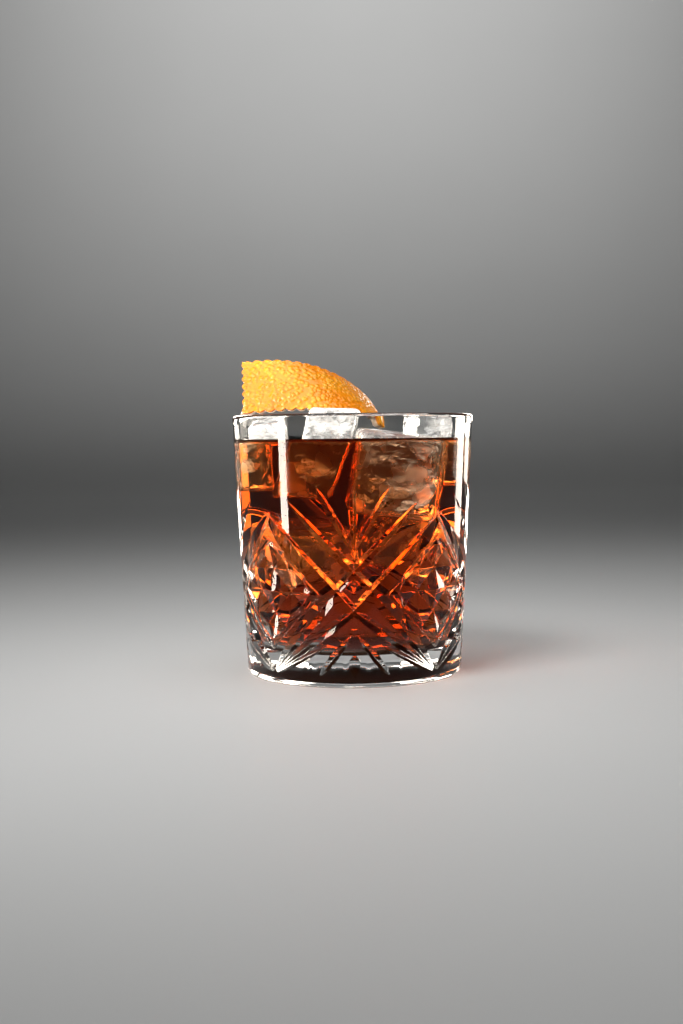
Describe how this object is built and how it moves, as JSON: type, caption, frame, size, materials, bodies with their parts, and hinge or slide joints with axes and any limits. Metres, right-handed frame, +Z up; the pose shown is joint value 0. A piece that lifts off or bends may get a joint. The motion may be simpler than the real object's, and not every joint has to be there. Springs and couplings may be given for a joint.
{
  "type": "iced cocktail in cut-glass tumbler",
  "caption": "Red-orange iced cocktail in a cut-glass rocks tumbler, with ice standing out of it and a pinked strip of orange peel on top.",
  "frame": {"origin": "centre of the tumbler's foot, on the surface it stands on", "axes": "+Z up along the tumbler's axis, -Y towards the viewer, with the star of the cut pattern facing -Y and the peel at the back left"},
  "size_m": [0.084, 0.084, 0.1109],
  "materials": {
    "glass": "clear cut and fire-polished glass",
    "negroni": "clear red-orange liquid",
    "ice": "wet ice, clear with cloudy hearts",
    "orange_peel": "pored waxy skin over matt pith"
  },
  "bodies": {
    "root": {"glass": "glass", "drink": "negroni", "ice_front_right": "ice", "ice_middle": "ice", "ice_left": "ice", "ice_back_right": "ice", "orange_peel": "orange_peel"}
  },
  "joints": []
}
